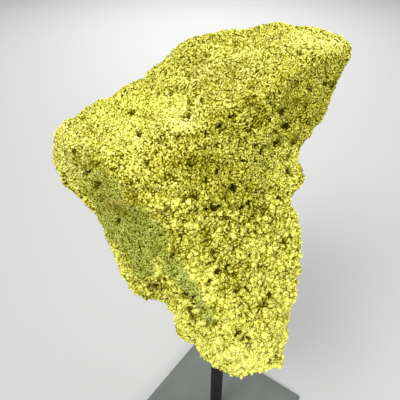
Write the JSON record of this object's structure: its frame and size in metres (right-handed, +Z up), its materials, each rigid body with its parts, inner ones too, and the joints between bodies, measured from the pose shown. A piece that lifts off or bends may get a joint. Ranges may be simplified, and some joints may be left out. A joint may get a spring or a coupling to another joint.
{
  "type": "mineral specimen on stand",
  "caption": "Rough lump of yellow-green nontronite with a crumbly, grainy crust, held up on a plain round rod that stands on a thin square plate; a display specimen.",
  "frame": {"origin": "on the rod's axis, at the underside of the square plate", "axes": "+Z up along the rod, -Y towards the side that the stone's broad front faces, +X to the right as seen from there"},
  "size_m": [0.0942, 0.086, 0.1828],
  "materials": {
    "nontronite_crust": "dull, powdery, yellow-green crust of tiny grains",
    "black_rod": "matte black",
    "dark_plate": "dark grey satin"
  },
  "bodies": {
    "root": {"nontronite": "nontronite_crust", "stand_rod": "black_rod", "stand_base": "dark_plate"}
  },
  "joints": []
}
